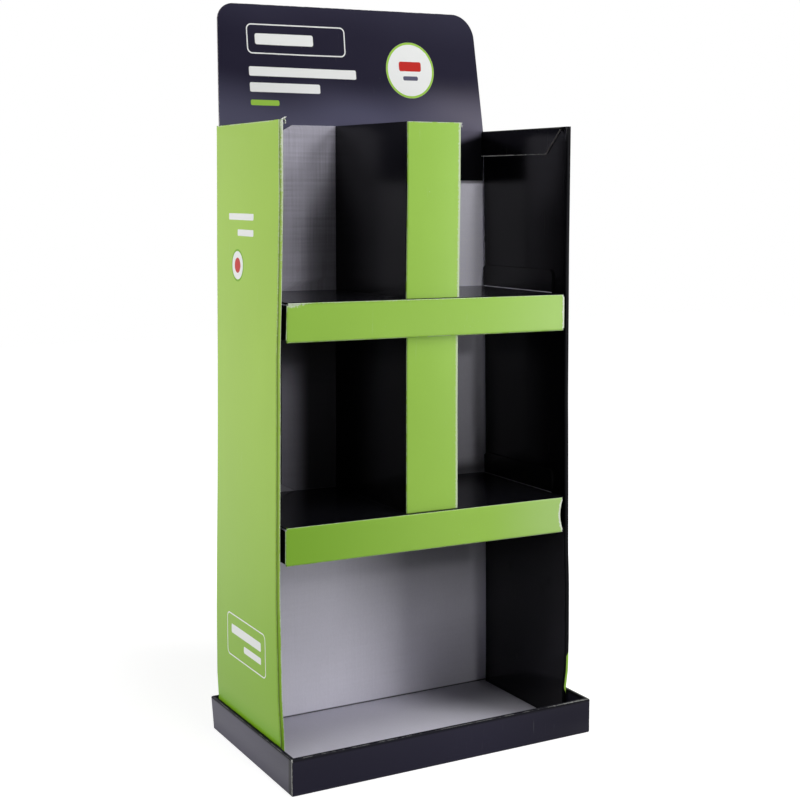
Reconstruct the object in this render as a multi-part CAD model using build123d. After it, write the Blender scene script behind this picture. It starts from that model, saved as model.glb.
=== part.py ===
from build123d import *
import os
from math import radians, tan

# Shop display of folded corrugated board: a body wrapped from one sheet with doubled side walls,
# a base tray, a header card, two shelves and two columns.
# Millimetres. X runs across the front, Y goes from the front to the back, Z goes up.
# The origin is the middle of the tray's underside.

# Board
board = 3.0  # thickness of the corrugated board
fold_inside = 0.6  # radius left on the inner side of a fold
fit_gap = 0.3  # gap between faces that are glued or slid together

# Base tray
tray_width = 600.0
tray_depth = 352.0
tray_height = 65.0
tray_wall_gap = 1.5  # room between the two plies of a rolled wall
tray_mitre_slit = 0.8  # gap between two rolled walls at a corner
tray_tuck_gap = 0.5  # gap under the rolled ply's edge

# Body
body_top = 1102.0  # height of the side walls above the ground
body_side_gap = 1.0  # room between a side wall and the tray's wall beside it
body_back_gap = 7.5  # room between the back panel and the tray's rear wall
body_front_gap = 53.5  # room between the side walls' front edges and the tray's front wall
ply_gap = 3.0  # room between the two plies of a side wall
front_crease_width = 4.4  # groove pressed between the two folds of a wall's front edge
front_crease_depth = 1.6
inner_ply_short = 7.0  # distance from the inner ply's rear edge to the back panel
top_flap_drop = 48.0  # height of the flap folded over the wall's top
top_flap_setback = 18.0  # distance from the wall's front to the flap's mitre
top_flap_rear_gap = 2.0

# Header card
header_rise = 222.0  # height of the card above the side walls
header_side_gap = 2.7  # gap between the tongue and the flap beside it
header_taper = 10.0  # distance that each side draws in up to the top
header_lean = 6.7  # degrees that the card leans back above the walls
header_corner = 32.0
tongue_depth = 94.0  # part of the card that reaches down between the walls

# Shelves
upper_shelf_top = 809.0
lower_shelf_top = 438.0
fascia_height = 66.0
fascia_proud = 6.0  # distance that the fascia stands in front of the side walls
fascia_end_gap = 5.5  # gap between the fascia's end and the side wall
fascia_ply_gap = 2.0  # room between the fascia and its folded-back ply
fascia_back_room = 9.0  # room between the folded-back ply's edge and the panel above it
fascia_end_depth = 38.0  # length of the flap at each end of the fascia
fascia_end_relief = 5.0  # distance from that flap to the folds above and below it
side_flange_height = 41.0
side_flange_setback = 44.0  # distance from the fascia's front to the side flange
side_flange_chamfer = 6.0
rear_flange_height = 26.0
rear_flange_inset = 12.0  # distance from the shelf's side to the rear flange's end

# Columns
column_width = 104.0
column_flap_reach = 113.0  # width of the flap on each side of the column's rear
column_flap_chamfer_wide = 28.0
column_flap_chamfer_high = 14.0
flange_clearance = 1.0  # room round the rear flange where the lower column passes it

# Values shared by several pieces
fold_outside = fold_inside + board
floor_top = board
tray_wall = 2 * board + tray_wall_gap
side_wall = 2 * board + ply_gap
body_half = tray_width / 2 - tray_wall - body_side_gap
body_back = tray_depth / 2 - tray_wall - body_back_gap
body_front = tray_wall - tray_depth / 2 + body_front_gap
back_panel_front = body_back - board
wall_inner = body_half - side_wall
top_flap_face = wall_inner - fit_gap - board
fascia_front = body_front - fascia_proud
fascia_back = fascia_front + 2 * board + fascia_ply_gap
header_back = back_panel_front - fit_gap
header_front = header_back - board
header_low_half = top_flap_face - header_side_gap
header_top = body_top + header_rise
shelf_half = wall_inner - fit_gap
fascia_half = wall_inner - fascia_end_gap
shelf_back = back_panel_front - fit_gap
column_front = fascia_back + fit_gap


def folded_section(points, plane):
    """Face of a folded sheet seen along its folds.

    The points are the corners of one of the sheet's faces, and the board lies on their left.
    """
    corners = [Vector(*p) for p in points]
    runs = [(b - a).normalized() for a, b in zip(corners, corners[1:])]
    lefts = [Vector(-d.Y, d.X) for d in runs]
    other = [corners[0] + lefts[0] * board]
    near_radii = []
    far_radii = []
    for corner, before, after, left_a, left_b in zip(corners[1:], runs, runs[1:], lefts, lefts[1:]):
        other.append(corner + (left_a + left_b) * (board / (1 + left_a.dot(left_b))))
        turns_left = before.cross(after).Z > 0
        near_radii.append(fold_outside if turns_left else fold_inside)
        far_radii.append(fold_inside if turns_left else fold_outside)
    other.append(corners[-1] + lefts[-1] * board)
    with BuildSketch(plane) as section:
        with BuildLine():
            near = FilletPolyline(*corners, radius=near_radii)
            far = FilletPolyline(*other, radius=far_radii)
            Line(near @ 0, far @ 0)
            Line(near @ 1, far @ 1)
        make_face()
    return section.sketch


def cut_prism(points, plane, length):
    """Prism over a polygon on a plane, centred on the plane, for trimming."""
    with BuildSketch(plane) as outline:
        with BuildLine():
            Polyline(*points, close=True)
        make_face()
    return extrude(outline.sketch, length / 2, both=True)


def block(x_low, x_high, y_low, y_high, z_low, z_high):
    """Box between two corners."""
    size = (x_high - x_low, y_high - y_low, z_high - z_low)
    middle = ((x_low + x_high) / 2, (y_low + y_high) / 2, (z_low + z_high) / 2)
    return Pos(*middle) * Box(*size)


def rolled_wall(length, half_depth):
    """Front wall of a tray of this half depth, rolled over and mitred at both ends."""
    rim = 2 * tray_wall  # strip of the floor that comes with the wall
    section = folded_section(
        [
            (half_depth - rim, 0),
            (half_depth, 0),
            (half_depth, tray_height),
            (half_depth - tray_wall, tray_height),
            (half_depth - tray_wall, floor_top + tray_tuck_gap),
        ],
        Plane(origin=(length / 2, 0, 0), x_dir=(0, -1, 0), z_dir=(-1, 0, 0)),
    )
    wall = extrude(section, length)
    mitre = cut_prism(
        [
            (-length / 2, -half_depth),
            (length / 2, -half_depth),
            (length / 2 - rim, rim - half_depth),
            (rim - length / 2, rim - half_depth),
        ],
        Plane.XY,
        3 * tray_height,
    )
    return wall & mitre


def make_base_tray():
    front = rolled_wall(tray_width, tray_depth / 2)
    side = rolled_wall(tray_depth, tray_width / 2)
    floor = block(
        tray_wall - tray_width / 2,
        tray_width / 2 - tray_wall,
        tray_wall - tray_depth / 2,
        tray_depth / 2 - tray_wall,
        0,
        floor_top,
    )
    tray = floor + front + Rot(0, 0, 180) * front + Rot(0, 0, 90) * side + Rot(0, 0, -90) * side
    # Slits part the rolled plies at the corners, down to the floor.
    slit_long = 2 * tray_wall
    for x_sign in (-1, 1):
        for y_sign in (-1, 1):
            corner = (x_sign * (tray_width / 2 - board), y_sign * (tray_depth / 2 - board))
            inward = 45 if x_sign == y_sign else -45
            if x_sign > 0:
                inward += 180
            slit = Pos(corner[0], corner[1], floor_top) * Rot(0, 0, inward) * Box(
                slit_long,
                tray_mitre_slit,
                2 * tray_height,
                align=(Align.MIN, Align.CENTER, Align.MIN),
            )
            tray -= slit
    return tray


def make_body_wrap():
    ply_end = back_panel_front - inner_ply_short
    section = folded_section(
        [
            (wall_inner, ply_end),
            (wall_inner, body_front),
            (body_half, body_front),
            (body_half, body_back),
            (-body_half, body_back),
            (-body_half, body_front),
            (-wall_inner, body_front),
            (-wall_inner, ply_end),
        ],
        Plane.XY.offset(floor_top),
    )
    wrap = extrude(section, body_top - floor_top)
    wall_middle = (wall_inner + body_half) / 2
    crease = cut_prism(
        [
            (wall_middle - front_crease_width / 2, body_front),
            (wall_middle + front_crease_width / 2, body_front),
            (wall_middle, body_front + front_crease_depth),
        ],
        Plane.XY,
        3 * body_top,
    )
    wrap -= crease
    wrap -= mirror(crease, about=Plane.YZ)

    # The flap folds over the wall's top and down the inner ply.
    mitre_front = body_front + top_flap_setback
    flap_back = back_panel_front - top_flap_rear_gap
    flap_low = body_top - top_flap_drop
    rear = Plane(origin=(0, flap_back, 0), x_dir=(1, 0, 0), z_dir=(0, -1, 0))
    flap_section = folded_section(
        [(body_half, flap_low), (body_half, body_top), (top_flap_face, body_top), (top_flap_face, flap_low)],
        rear,
    )
    flap = extrude(flap_section, flap_back - mitre_front)
    flap -= cut_prism(
        [
            (mitre_front, body_top - fold_outside),
            (mitre_front, flap_low),
            (mitre_front + top_flap_drop - fold_outside, flap_low),
        ],
        Plane.YZ.offset(top_flap_face + board / 2),
        board + fit_gap,
    )
    fold_room = block(
        top_flap_face - board,
        body_half + board,
        mitre_front,
        flap_back,
        body_top - fold_outside,
        body_top + board,
    )
    wrap -= fold_room
    wrap -= mirror(fold_room, about=Plane.YZ)
    wrap += flap
    wrap += mirror(flap, about=Plane.YZ)
    return wrap


def make_header_card():
    rise = header_top + board - body_top
    top_back = header_back + rise * tan(radians(header_lean))
    section = folded_section(
        [(header_back, body_top - tongue_depth), (header_back, body_top), (top_back, header_top + board)],
        Plane.YZ.offset(-header_low_half),
    )
    card = extrude(section, 2 * header_low_half)
    high_half = header_low_half - header_taper
    with BuildSketch(Plane.XZ) as outline:
        with BuildLine():
            Polyline(
                (-header_low_half, body_top - tongue_depth),
                (header_low_half, body_top - tongue_depth),
                (header_low_half, body_top),
                (high_half, header_top),
                (-high_half, header_top),
                (-header_low_half, body_top),
                close=True,
            )
        make_face()
        fillet(outline.vertices().group_by(Axis.Y)[-1], header_corner)
    return card & extrude(outline.sketch, tray_depth, both=True)


def make_shelf(top):
    low = top - fascia_height
    corner_start = fascia_half - fold_outside
    flange_front = fascia_front + side_flange_setback
    flange_back = back_panel_front - inner_ply_short
    flange_top = top + side_flange_height

    # Rear flange, panel, fascia and the ply folded back behind it.
    strip = extrude(
        folded_section(
            [
                (shelf_back, top - rear_flange_height),
                (shelf_back, top),
                (fascia_front, top),
                (fascia_front, low),
                (fascia_back, low),
                (fascia_back, top - board - fascia_back_room),
            ],
            Plane.YZ.offset(-corner_start),
        ),
        2 * corner_start,
    )
    # The rear flange is shorter than the panel.
    for x_sign in (-1, 1):
        edge = x_sign * corner_start
        inner = x_sign * (corner_start - rear_flange_inset)
        strip -= block(
            min(edge, inner),
            max(edge, inner),
            shelf_back - fold_outside,
            shelf_back + board,
            low,
            top + board,
        )
    # Fascia with a flap folded back at each end.
    ends = extrude(
        folded_section(
            [
                (-fascia_half, fascia_front + fascia_end_depth),
                (-fascia_half, fascia_front),
                (fascia_half, fascia_front),
                (fascia_half, fascia_front + fascia_end_depth),
            ],
            Plane.XY.offset(low + fascia_end_relief),
        ),
        fascia_height - 2 * fascia_end_relief,
    )
    # Panel out to the walls, and the flanges turned up along them.
    panel = block(
        -fascia_half,
        fascia_half,
        fascia_front + fold_outside,
        flange_front,
        top - board,
        top,
    )
    flanges = extrude(
        folded_section(
            [
                (-shelf_half, flange_top),
                (-shelf_half, top - board),
                (shelf_half, top - board),
                (shelf_half, flange_top),
            ],
            Plane(origin=(0, flange_back, 0), x_dir=(1, 0, 0), z_dir=(0, -1, 0)),
        ),
        flange_back - flange_front,
    )
    for tip in (flange_front, flange_back):
        inward = 1 if tip == flange_front else -1
        flanges -= cut_prism(
            [
                (tip, flange_top - side_flange_chamfer),
                (tip, flange_top),
                (tip + inward * side_flange_chamfer, flange_top),
            ],
            Plane.YZ,
            2 * tray_width,
        )
    return strip + ends + panel + flanges


def make_column(bottom, top, rear):
    """Column from one level to another, with its flaps' rear faces at the given place."""
    half = column_width / 2
    flap_end = half + column_flap_reach
    flap_face = rear - board
    column = extrude(
        folded_section(
            [
                (-flap_end, flap_face),
                (-half, flap_face),
                (-half, column_front),
                (half, column_front),
                (half, flap_face),
                (flap_end, flap_face),
            ],
            Plane.XY.offset(bottom),
        ),
        top - bottom,
    )
    for x_sign in (-1, 1):
        for edge, inward in ((bottom, 1), (top, -1)):
            column -= cut_prism(
                [
                    (x_sign * flap_end, edge),
                    (x_sign * (flap_end - column_flap_chamfer_wide), edge),
                    (x_sign * flap_end, edge + inward * column_flap_chamfer_high),
                ],
                Plane.XZ.offset(-rear),
                4 * board,
            )
    return column


def make_upper_column():
    return make_column(upper_shelf_top, body_top, header_front - fit_gap)


def make_lower_column():
    top = upper_shelf_top - board - fit_gap
    column = make_column(lower_shelf_top, top, back_panel_front - fit_gap)
    # The upper shelf's rear flange hangs here, so the column's rear is cut away below it.
    half = column_width / 2 + column_flap_reach
    low = upper_shelf_top - rear_flange_height - flange_clearance
    front = shelf_back - fold_outside - flange_clearance
    column -= block(-half - board, half + board, front, shelf_back + board, low, top + board)
    return column


parts = {
    "base_tray": make_base_tray(),
    "body_wrap": make_body_wrap(),
    "header_card": make_header_card(),
    "upper_shelf": make_shelf(upper_shelf_top),
    "lower_shelf": make_shelf(lower_shelf_top),
    "upper_column": make_upper_column(),
    "lower_column": make_lower_column(),
}

os.makedirs("parts", exist_ok=True)
for name, shape in parts.items():
    export_step(shape, f"parts/{name}.step")
    print(name, "solids", len(shape.solids()), "volume", round(shape.volume))
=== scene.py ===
import bpy
from math import pi, radians
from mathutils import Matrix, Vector, noise


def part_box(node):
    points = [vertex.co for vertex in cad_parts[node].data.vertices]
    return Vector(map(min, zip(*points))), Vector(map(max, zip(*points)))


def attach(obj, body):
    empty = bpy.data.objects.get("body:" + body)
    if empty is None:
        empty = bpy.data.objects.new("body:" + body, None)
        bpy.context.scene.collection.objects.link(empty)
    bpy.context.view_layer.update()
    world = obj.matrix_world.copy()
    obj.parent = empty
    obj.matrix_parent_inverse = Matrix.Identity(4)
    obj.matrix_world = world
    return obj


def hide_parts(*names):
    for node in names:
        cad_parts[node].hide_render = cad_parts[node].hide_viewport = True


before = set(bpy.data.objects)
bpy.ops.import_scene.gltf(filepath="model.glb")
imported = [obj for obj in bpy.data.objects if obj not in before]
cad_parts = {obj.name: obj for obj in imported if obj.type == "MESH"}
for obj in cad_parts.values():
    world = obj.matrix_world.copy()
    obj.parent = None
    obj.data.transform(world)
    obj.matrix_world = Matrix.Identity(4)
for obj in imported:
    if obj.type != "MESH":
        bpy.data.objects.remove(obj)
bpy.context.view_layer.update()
print("frame loaded:", len(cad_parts), "sheets of board")

# Places on the folded sheets, in metres, read from the frame
wrapLow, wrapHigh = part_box("body_wrap")
trayLow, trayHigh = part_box("base_tray")
headerLow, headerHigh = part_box("header_card")
shelfLow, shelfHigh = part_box("upper_shelf")
lowShelfLow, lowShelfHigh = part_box("lower_shelf")
columnLow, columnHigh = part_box("upper_column")
board = wrapLow.z  # the wrap stands on a floor that is one board thick
glueGap = 0.0003
flutePitch = 0.0063  # length of one wave of the fluting
sideWall = 0.009  # outside of a side wall to the inside of its inner ply
innerFace = wrapHigh.x - sideWall
liningFace = innerFace - glueGap - board  # inner face of the flaps that are glued to the inner ply
innerPlyEnd = wrapHigh.y - board - 0.007
wallFront = wrapLow.y
wallTop = wrapHigh.z
topFlapDrop = 0.048
topFlapSetback = 0.018  # from the wall's front to the mitre of its top flap
topFlapEnd = wrapHigh.y - board - 0.002
fasciaFront = shelfLow.y
fasciaEnd = innerFace - 0.0055
flangeRise = 0.041  # height of a shelf's side flange above its panel
upperTop, upperFoot = shelfHigh.z - flangeRise, shelfLow.z
lowerTop, lowerFoot = lowShelfHigh.z - flangeRise, lowShelfLow.z
columnEdge = 0.052  # from the middle of the display to a column's side

inks = {
    "green": (0.305, 0.535, 0.068, 1),
    "wallGreen": (0.340, 0.535, 0.078, 1),
    "wallShadeGreen": (0.195, 0.385, 0.016, 1),
    "deepGreen": (0.175, 0.385, 0.012, 1),
    "navy": (0.0125, 0.0110, 0.0255, 1),
    "softNavy": (0.098, 0.096, 0.155, 1),
    "sheenNavy": (0.150, 0.138, 0.175, 1),
    "trayNavy": (0.0350, 0.0325, 0.0560, 1),
    "trayEndSheenNavy": (0.0760, 0.0715, 0.1010, 1),
    "black": (0.0030, 0.0030, 0.0042, 1),
    "white": (0.78, 0.79, 0.78, 1),
    "red": (0.50, 0.025, 0.020, 1),
    "paper": (0.72, 0.73, 0.70, 1),
    # painted light: greyBack is the flaps' grey liner made lighter to stand in for more light on the back
    # and the floor
    "greyBack": (0.800, 0.785, 0.880, 1),
    "flapGrey": (0.483, 0.467, 0.549, 1),
    "medium": (0.30, 0.25, 0.19, 1),
    "gap": (0.030, 0.026, 0.022, 1),
}


# Small helpers for wiring nodes
def feed(tree, socket, value):
    # a plain value is written on the socket, another node's output is linked to it
    if isinstance(value, (int, float, tuple)):
        socket.default_value = value
    else:
        tree.links.new(value, socket)


def calc(tree, operation, *values):
    node = tree.nodes.new("ShaderNodeMath")
    node.operation = operation
    for socket, value in zip(node.inputs, values):
        feed(tree, socket, value)
    return node.outputs[0]


def times(tree, first, second):
    return calc(tree, "MULTIPLY", first, second)


def centred(tree, value):
    return calc(tree, "SUBTRACT", value, 0.5)


def calcVector(tree, operation, *values):
    node = tree.nodes.new("ShaderNodeVectorMath")
    node.operation = operation
    for socket, value in zip(node.inputs, values):
        feed(tree, socket, value)
    return node.outputs["Value" if operation in ("DOT_PRODUCT", "LENGTH") else "Vector"]


def ramp(tree, value, low, high, atLow=0.0, atHigh=1.0):
    # a soft step from atLow to atHigh
    node = tree.nodes.new("ShaderNodeMapRange")
    node.interpolation_type = "SMOOTHSTEP"
    settings = {"Value": value, "From Min": low, "From Max": high, "To Min": atLow, "To Max": atHigh}
    for label, setting in settings.items():
        feed(tree, node.inputs[label], setting)
    return node.outputs["Result"]


def speckle(tree, position, scale, detail=2.0):
    node = tree.nodes.new("ShaderNodeTexNoise")
    node.inputs["Scale"].default_value = scale
    node.inputs["Detail"].default_value = detail
    tree.links.new(position, node.inputs["Vector"])
    return node.outputs["Fac"]


def drawnOut(tree, position, stretch):
    # noise drawn out into lines
    return speckle(tree, calcVector(tree, "MULTIPLY", position, stretch), 1.0, 3)


def blendTone(tree, share, under, over):
    node = tree.nodes.new("ShaderNodeMix")
    node.data_type = "RGBA"
    for socket, value in ((node.inputs[0], share), (node.inputs[6], under), (node.inputs[7], over)):
        feed(tree, socket, value)
    return node.outputs[2]


def scaleTone(tree, tone, level):
    node = tree.nodes.new("ShaderNodeVectorMath")
    node.operation = "SCALE"
    feed(tree, node.inputs[0], tone[:3] if isinstance(tone, tuple) else tone)
    feed(tree, node.inputs["Scale"], level)
    return node.outputs["Vector"]


def axesOf(tree, position):
    node = tree.nodes.new("ShaderNodeSeparateXYZ")
    tree.links.new(position, node.inputs[0])
    return node.outputs


def spotOn(tree, first, second):
    node = tree.nodes.new("ShaderNodeCombineXYZ")
    tree.links.new(first, node.inputs[0])
    tree.links.new(second, node.inputs[1])
    return node.outputs[0]


def startGroup(name, inputs, outputs):
    tree = bpy.data.node_groups.new(name, "ShaderNodeTree")
    kinds = {"V": "NodeSocketVector", "F": "NodeSocketFloat", "C": "NodeSocketColor"}
    for label, (kind, start) in inputs.items():
        socket = tree.interface.new_socket(label, in_out="INPUT", socket_type=kinds[kind])
        socket.default_value = start
    for label, kind in outputs.items():
        tree.interface.new_socket(label, in_out="OUTPUT", socket_type=kinds[kind])
    given = tree.nodes.new("NodeGroupInput")
    result = tree.nodes.new("NodeGroupOutput")
    return tree, given.outputs, result.inputs


def useGroup(tree, group, **values):
    node = tree.nodes.new("ShaderNodeGroup")
    node.node_tree = group
    for label, value in values.items():
        feed(tree, node.inputs[label], value)
    return node.outputs


# Washboard: the flutes and the paper's cross lines show through the liner, and the panel is never
# quite flat
tree, given, result = startGroup(
    "boardRibs",
    {"Position": ("V", (0, 0, 0)), "Across": ("V", (1, 1, 0)), "Pitch": ("F", flutePitch)},
    {"Ribs": "F", "Lines": "F", "Strands": "F", "Warp": "F"},
)
drift = times(tree, speckle(tree, given["Position"], 17, 1), 0.004)
along = calc(tree, "ADD", calcVector(tree, "DOT_PRODUCT", given["Position"], given["Across"]), drift)
turns = calc(tree, "DIVIDE", times(tree, along, 2 * pi), given["Pitch"])
patches = ramp(tree, speckle(tree, given["Position"], 11, 2), 0.35, 0.65, 0.35, 1.0)
tree.links.new(times(tree, calc(tree, "SINE", turns), patches), result["Ribs"])
for label, stretch in (("Lines", (5, 5, 190)), ("Strands", (210, 210, 9))):
    trace = centred(tree, drawnOut(tree, given["Position"], stretch))
    tree.links.new(times(tree, trace, patches), result[label])
tree.links.new(speckle(tree, given["Position"], 5, 1), result["Warp"])
boardRibs = tree

# Grit: the two grains that cracked print is torn by, fine and coarse
tree, given, result = startGroup("paperGrit", {"Position": ("V", (0, 0, 0))}, {"Fine": "F", "Coarse": "F"})
tree.links.new(speckle(tree, given["Position"], 320, 3), result["Fine"])
tree.links.new(speckle(tree, given["Position"], 55, 4), result["Coarse"])
paperGrit = tree

# Crack: print broken along a fold, so that white paper shows. Across gives the axes that distance is
# measured on, after a turn about x for a fold that slants.
tree, given, result = startGroup(
    "foldCrack",
    {
        "Position": ("V", (0, 0, 0)),
        "Place": ("V", (0, 0, 0)),
        "Across": ("V", (1, 1, 0)),
        "Turn": ("F", 0.0),
        "Width": ("F", 0.001),
        "Amount": ("F", 0.5),
        "Fine": ("F", 0.5),
        "Coarse": ("F", 0.5),
    },
    {"Mask": "F"},
)
turned = tree.nodes.new("ShaderNodeVectorRotate")
turned.rotation_type = "X_AXIS"
tree.links.new(calcVector(tree, "SUBTRACT", given["Position"], given["Place"]), turned.inputs["Vector"])
tree.links.new(given["Turn"], turned.inputs["Angle"])
offset = calcVector(tree, "MULTIPLY", turned.outputs[0], given["Across"])
ragged = times(tree, centred(tree, given["Fine"]), times(tree, given["Width"], 1.8))
away = calc(tree, "ADD", calcVector(tree, "LENGTH", offset), ragged)
band = ramp(tree, away, times(tree, given["Width"], 0.4), given["Width"], 1.0, 0.0)
whole = calc(tree, "SUBTRACT", 1.0, given["Amount"])
breaks = ramp(
    tree,
    given["Coarse"],
    calc(tree, "MULTIPLY_ADD", whole, 0.5, 0.18),
    calc(tree, "MULTIPLY_ADD", whole, 0.5, 0.32),
)
tree.links.new(times(tree, band, breaks), result["Mask"])
foldCrack = tree

# Ink: a little lighter and darker in clouds, with fine grain
tree, given, result = startGroup(
    "inkClouds",
    {"Position": ("V", (0, 0, 0)), "Ink": ("C", (0.5, 0.5, 0.5, 1)), "Depth": ("F", 0.1)},
    {"Color": "C"},
)
clouds = centred(tree, speckle(tree, given["Position"], 7, 3))
grain = centred(tree, speckle(tree, given["Position"], 900, 1))
mottle = calc(tree, "ADD", clouds, times(tree, grain, 0.5))
level = calc(tree, "ADD", times(tree, mottle, given["Depth"]), 1.0)
tree.links.new(scaleTone(tree, given["Ink"], level), result["Color"])
inkClouds = tree

# Scuffs: small pale rubs and dust, sparse
tree, given, result = startGroup(
    "rubMarks",
    {"Position": ("V", (0, 0, 0)), "Amount": ("F", 0.3)},
    {"Mask": "F"},
)
specks = ramp(tree, speckle(tree, given["Position"], 420, 2), 0.70, 0.76)
places = ramp(tree, speckle(tree, given["Position"], 13, 3), 0.50, 0.70)
streaks = ramp(tree, drawnOut(tree, given["Position"], (260, 260, 14)), 0.66, 0.74)
rubs = calc(tree, "ADD", specks, times(tree, streaks, 0.5))
marks = times(tree, rubs, places)
tree.links.new(times(tree, marks, given["Amount"]), result["Mask"])
rubMarks = tree

# Printed bar with round corners: how far a spot lies outside its edge, less than nothing inside
tree, given, result = startGroup(
    "roundBar",
    {
        "Spot": ("V", (0, 0, 0)),
        "Centre": ("V", (0, 0, 0)),
        "Half": ("V", (0.01, 0.01, 0)),
        "Round": ("F", 0.002),
    },
    {"Distance": "F"},
)
reach = calcVector(tree, "ABSOLUTE", calcVector(tree, "SUBTRACT", given["Spot"], given["Centre"]))
past = axesOf(tree, calcVector(tree, "SUBTRACT", reach, given["Half"]))
pastX = calc(tree, "ADD", past[0], given["Round"])
pastY = calc(tree, "ADD", past[1], given["Round"])
outX = calc(tree, "MAXIMUM", pastX, 0.0)
outY = calc(tree, "MAXIMUM", pastY, 0.0)
squares = calc(tree, "ADD", times(tree, outX, outX), times(tree, outY, outY))
outside = calc(tree, "SQRT", squares)
within = calc(tree, "MINIMUM", calc(tree, "MAXIMUM", pastX, pastY), 0.0)
distance = calc(tree, "SUBTRACT", calc(tree, "ADD", outside, within), given["Round"])
tree.links.new(distance, result["Distance"])
roundBar = tree
print("surface effects ready")


# Materials
boardFinish = {
    "ribHeight": 0.010,  # millimetres of washboard on a printed liner, and so on for the next three
    "lineHeight": 0.010,
    "warpHeight": 0.50,
    "crackHeight": 0.12,
    "inkDepth": 0.10,  # how strongly the ink clouds
    "gloss": 0.20,  # specular level of the varnished print
    "printBlur": 0.0004,  # half the width over which a printed edge turns soft
    # how dark the painted shade in a groove is
    "grooveTone": 0.3,
    "crackRoughness": 0.75,
}
linerFinish = {
    # change of tone and height in millimetres, for a weave of 1
    "Ribs": (0.018, 0.010),
    "Lines": (0.34, 0.060),
    "Strands": (0.28, 0.050),
}
linerFibres = {"stretch": (700, 700, 180), "tone": 0.10, "height": 0.020}
linerWarp = 0.30


def startMaterial(name, roughness, specular, settled=True):
    # a sheet carries its flat place as an attribute, so that print and folds stay put where the board has
    # settled, and any other piece is read by its own object coordinates
    material = bpy.data.materials.new(name)
    material.use_nodes = True
    tree = material.node_tree
    shader = tree.nodes["Principled BSDF"]
    shader.inputs["Roughness"].default_value = roughness
    shader.inputs["Specular IOR Level"].default_value = specular
    if not settled:
        return material, tree, shader, tree.nodes.new("ShaderNodeTexCoord").outputs["Object"]
    place = tree.nodes.new("ShaderNodeAttribute")
    place.attribute_name = "flatPlace"
    return material, tree, shader, place.outputs["Vector"]


def feedBump(tree, shader, heights):
    # heights in millimetres, added together
    total = heights[0]
    for height in heights[1:]:
        total = calc(tree, "ADD", total, height)
    bump = tree.nodes.new("ShaderNodeBump")
    bump.inputs["Strength"].default_value = 1
    bump.inputs["Distance"].default_value = 0.001
    tree.links.new(total, bump.inputs["Height"])
    tree.links.new(bump.outputs["Normal"], shader.inputs["Normal"])


def printBars(tree, spot, tone, bars):
    # plain filled or outlined bars with round corners, laid on the ink
    blur = boardFinish["printBlur"]
    for bar in bars:
        centre, half = (*bar["centre"], 0), (*bar["half"], 0)
        away = useGroup(tree, roundBar, Spot=spot, Centre=centre, Half=half, Round=bar["round"])["Distance"]
        if "line" in bar:
            away = calc(tree, "SUBTRACT", calc(tree, "ABSOLUTE", away), bar["line"] / 2)
        tone = blendTone(tree, ramp(tree, away, -blur, blur, 1.0, 0.0), tone, inks[bar["ink"]])
    return tone


def crackAlong(tree, spot, place, axes, width, amount, fine, coarse, turn=0.0):
    return useGroup(
        tree,
        foldCrack,
        Position=spot,
        Place=place,
        Across=axes,
        Turn=radians(turn),
        Width=width,
        Amount=amount,
        Fine=fine,
        Coarse=coarse,
    )["Mask"]


def printedBoard(
    name,
    ink,
    roughness,
    folds,
    across=(1, 1, 0),
    rubs=0.3,
    motif=None,
    mirrored=False,
    gloss=boardFinish["gloss"],
    grooves=(),
):
    # ink on the white liner, broken at its folds, with painted shade that darkens it in its grooves
    material, tree, shader, position = startMaterial(name, roughness, gloss)
    tone = useGroup(tree, inkClouds, Position=position, Ink=ink, Depth=boardFinish["inkDepth"])["Color"]
    if motif:
        tone = motif(tree, position, tone)
    grit = useGroup(tree, paperGrit, Position=position)
    spot = calcVector(tree, "ABSOLUTE", position) if mirrored else position
    # painted shade: each groove darkens the ink where the recess would be shaded
    for place, axes, width, amount in grooves:
        groove = crackAlong(tree, spot, place, axes, width, 1.0, 0.5, 1.0)
        shade = scaleTone(tree, ink, boardFinish["grooveTone"])
        tone = blendTone(tree, times(tree, groove, amount), tone, shade)
    cracks = useGroup(tree, rubMarks, Position=position, Amount=rubs)["Mask"]
    for place, axes, width, amount, level, *turn in folds:
        crack = crackAlong(tree, spot, place, axes, width, amount, grit["Fine"], grit["Coarse"], *turn)
        cracks = calc(tree, "MAXIMUM", cracks, times(tree, crack, level))
    tree.links.new(blendTone(tree, cracks, tone, inks["paper"]), shader.inputs["Base Color"])
    dull = ramp(tree, cracks, 0.0, 1.0, roughness, boardFinish["crackRoughness"])
    tree.links.new(dull, shader.inputs["Roughness"])
    ribs = useGroup(tree, boardRibs, Position=position, Across=across)
    feedBump(
        tree,
        shader,
        [
            times(tree, ribs["Ribs"], boardFinish["ribHeight"]),
            times(tree, ribs["Lines"], boardFinish["lineHeight"]),
            times(tree, ribs["Warp"], boardFinish["warpHeight"]),
            times(tree, cracks, boardFinish["crackHeight"]),
        ],
    )
    return material


def bareLiner(name, paper, weave, across=(1, 1, 0), shading=None):
    # unprinted grey back with its washboard and fibres, weave says how clearly they show
    material, tree, shader, position = startMaterial(name, 0.75, 0.15)
    ribs = useGroup(tree, boardRibs, Position=position, Across=across)
    fibres = centred(tree, drawnOut(tree, position, linerFibres["stretch"]))
    shade = 1.0
    heights = []
    for label, (tint, height) in linerFinish.items():
        shade = calc(tree, "MULTIPLY_ADD", ribs[label], tint * weave, shade)
        heights.append(times(tree, ribs[label], height * weave))
    shade = calc(tree, "MULTIPLY_ADD", fibres, linerFibres["tone"], shade)
    heights.append(times(tree, ribs["Warp"], linerWarp))
    heights.append(times(tree, fibres, linerFibres["height"]))
    if shading:
        shade = times(tree, shade, shading(tree, axesOf(tree, position)))
    tone = useGroup(tree, inkClouds, Position=position, Ink=paper, Depth=0.14)["Color"]
    tree.links.new(scaleTone(tree, tone, shade), shader.inputs["Base Color"])
    feedBump(tree, shader, heights)
    return material


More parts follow.
